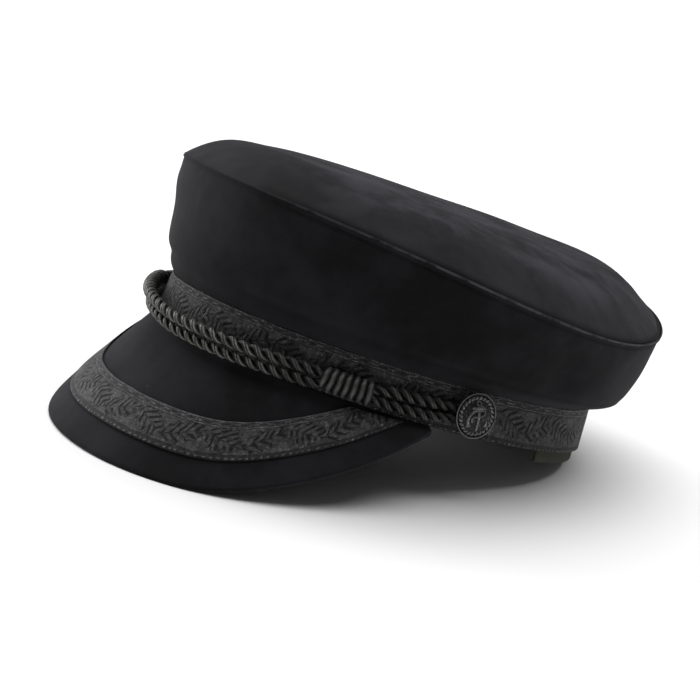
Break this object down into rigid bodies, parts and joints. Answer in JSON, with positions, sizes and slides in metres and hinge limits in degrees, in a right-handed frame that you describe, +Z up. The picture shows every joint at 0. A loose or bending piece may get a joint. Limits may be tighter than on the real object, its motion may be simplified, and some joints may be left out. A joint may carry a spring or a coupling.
{
  "type": "captain hat",
  "caption": "Soft captain hat: domed oval top over a puffed side wall, braid head band, steep curved visor with a sewn ribbon, twin cord with whipping knots, domed side buttons.",
  "frame": {"origin": "middle of the hat's footprint on the surface that it rests on", "axes": "+Z up, the hat's front and visor towards -Y, the wearer's left towards +X"},
  "size_m": [0.2032, 0.2692, 0.1207],
  "materials": {
    "cloth": "black smooth twill, matt with a soft sheen",
    "braid": "black woven jacquard ribbon, slightly glossy",
    "cord": "black twisted cord with a green-grey gloss",
    "webbing": "dark olive plain webbing, matt",
    "button_metal": "dark antiqued metal, raised parts worn brighter"
  },
  "bodies": {
    "root": {"crown_top": "cloth", "crown_side": "cloth", "head_band": "braid", "visor": "cloth", "visor_ribbon": "braid", "cord_upper": "cord", "cord_lower": "cord", "cord_knot_left": "cord", "cord_knot_right": "cord", "button_left": "button_metal", "button_right": "button_metal", "rear_strip": "webbing"}
  },
  "joints": []
}
